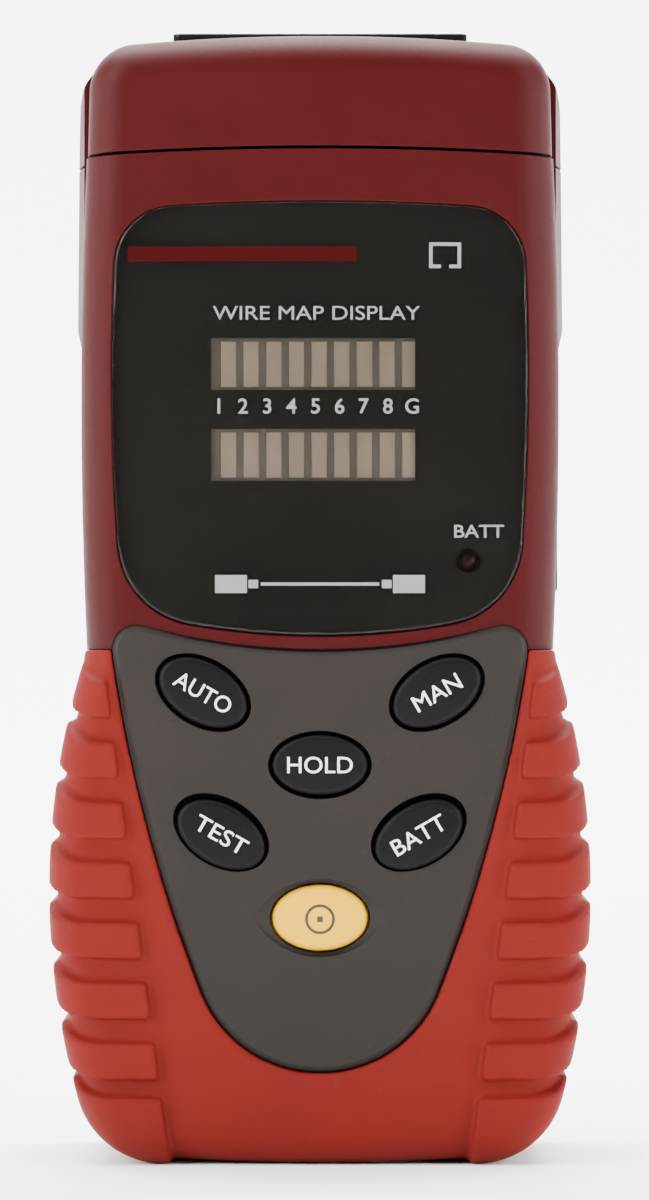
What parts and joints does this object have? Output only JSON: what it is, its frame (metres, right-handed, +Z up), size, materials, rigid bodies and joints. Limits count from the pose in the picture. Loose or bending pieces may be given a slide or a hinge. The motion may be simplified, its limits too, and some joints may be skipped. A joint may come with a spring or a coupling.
{
  "type": "network cable tester",
  "caption": "Handheld network cable tester with ribbed rubber grip, light-bar display behind a smoked lens, oval keypad and a detachable remote unit on top.",
  "frame": {"origin": "middle of the footprint, on the surface the tester stands on", "axes": "+Z up the length of the tester towards the remote unit; the keypad and display face -Y; +X to the right of someone who faces the keypad"},
  "size_m": [0.0784, 0.0435, 0.1639],
  "materials": {
    "bar_diffuser": "milky diffuser",
    "bar_housing_grey": "grey-brown moulding",
    "battery_can": "dark plain jacket",
    "bezel_grey": "fine-textured warm grey",
    "board_green": "solder mask",
    "capacitor_blue": "sleeved can",
    "chip_black": "moulded epoxy",
    "contact_gold": "gold plated",
    "foam": "soft foam",
    "grip_rubber": "matte red moulded rubber",
    "key_rubber": "matte black silicone",
    "label_silver": "blank satin foil",
    "lead_black": "PVC insulation",
    "lead_red": "PVC insulation",
    "led_red": "unlit tinted LED",
    "lens_smoke": "smoked clear acrylic",
    "mask_black": "black printed film",
    "membrane": "silicone sheet",
    "pill_carbon": "carbon loaded",
    "power_yellow": "satin yellow",
    "shell_red": "fine spark-eroded dark red ABS",
    "socket_black": "black nylon",
    "steel": "zinc plated",
    "tape_black": "adhesive gasket"
  },
  "bodies": {
    "main_unit": {"battery": "battery_can", "battery_lead_black": "lead_black", "battery_lead_red": "lead_red", "battery_led": "led_red", "battery_snap": "chip_black", "battery_terminals": "contact_gold", "capacitors": "capacitor_blue", "case_screws": "steel", "display_lens": "lens_smoke", "dock_tray": "socket_black", "driver_chips": "chip_black", "front_grip": "grip_rubber", "front_shell": "shell_red", "key_contact_pads": "contact_gold", "keypad_bezel": "bezel_grey", "keypad_membrane": "membrane", "led_leads": "contact_gold", "lens_mask": "mask_black", "lens_tape": "tape_black", "lower_bar_housing": "bar_housing_grey", "lower_bar_segments": "bar_diffuser", "main_jack": "socket_black", "main_jack_contacts": "contact_gold", "main_pcb": "board_green", "microcontroller": "chip_black", "pcb_screws": "steel", "rear_grip": "grip_rubber", "rear_label": "label_silver", "rear_shell": "shell_red", "upper_bar_housing": "bar_housing_grey", "upper_bar_segments": "bar_diffuser"},
    "key_auto_body": {"key_auto": "key_rubber", "key_auto_pill": "pill_carbon"},
    "key_man_body": {"key_man": "key_rubber", "key_man_pill": "pill_carbon"},
    "key_hold_body": {"key_hold": "key_rubber", "key_hold_pill": "pill_carbon"},
    "key_test_body": {"key_test": "key_rubber", "key_test_pill": "pill_carbon"},
    "key_battery_body": {"key_battery": "key_rubber", "key_battery_pill": "pill_carbon"},
    "power_button_body": {"power_button": "power_yellow", "power_button_pill": "pill_carbon"},
    "remote": {"remote_chip": "chip_black", "remote_front_shell": "shell_red", "remote_jack": "socket_black", "remote_jack_contacts": "contact_gold", "remote_pcb": "board_green", "remote_rear_shell": "shell_red", "remote_screws": "steel", "remote_top_plate": "socket_black"},
    "battery_door_body": {"battery_door": "shell_red", "door_pad": "foam", "door_screw": "steel"}
  },
  "joints": [
    {"name": "remote_pull_off", "type": "slide", "parent": "main_unit", "child": "remote", "axis": [0, 0, 1], "range_m": [0, 0.03]},
    {"name": "battery_door_tilt", "type": "hinge", "parent": "main_unit", "child": "battery_door_body", "pos_m": [0, 0.02, 0.0126], "axis": [-1, 0, 0], "range_deg": [0, 35]},
    {"name": "key_auto_press", "type": "slide", "parent": "main_unit", "child": "key_auto_body", "axis": [0, 1, 0], "range_m": [0, 0.001], "stiffness_N_per_m": 800},
    {"name": "key_man_press", "type": "slide", "parent": "main_unit", "child": "key_man_body", "axis": [0, 1, 0], "range_m": [0, 0.001], "stiffness_N_per_m": 800},
    {"name": "key_hold_press", "type": "slide", "parent": "main_unit", "child": "key_hold_body", "axis": [0, 1, 0], "range_m": [0, 0.001], "stiffness_N_per_m": 800},
    {"name": "key_test_press", "type": "slide", "parent": "main_unit", "child": "key_test_body", "axis": [0, 1, 0], "range_m": [0, 0.001], "stiffness_N_per_m": 800},
    {"name": "key_battery_press", "type": "slide", "parent": "main_unit", "child": "key_battery_body", "axis": [0, 1, 0], "range_m": [0, 0.001], "stiffness_N_per_m": 800},
    {"name": "power_button_press", "type": "slide", "parent": "main_unit", "child": "power_button_body", "axis": [0, 1, 0], "range_m": [0, 0.001], "stiffness_N_per_m": 800}
  ]
}
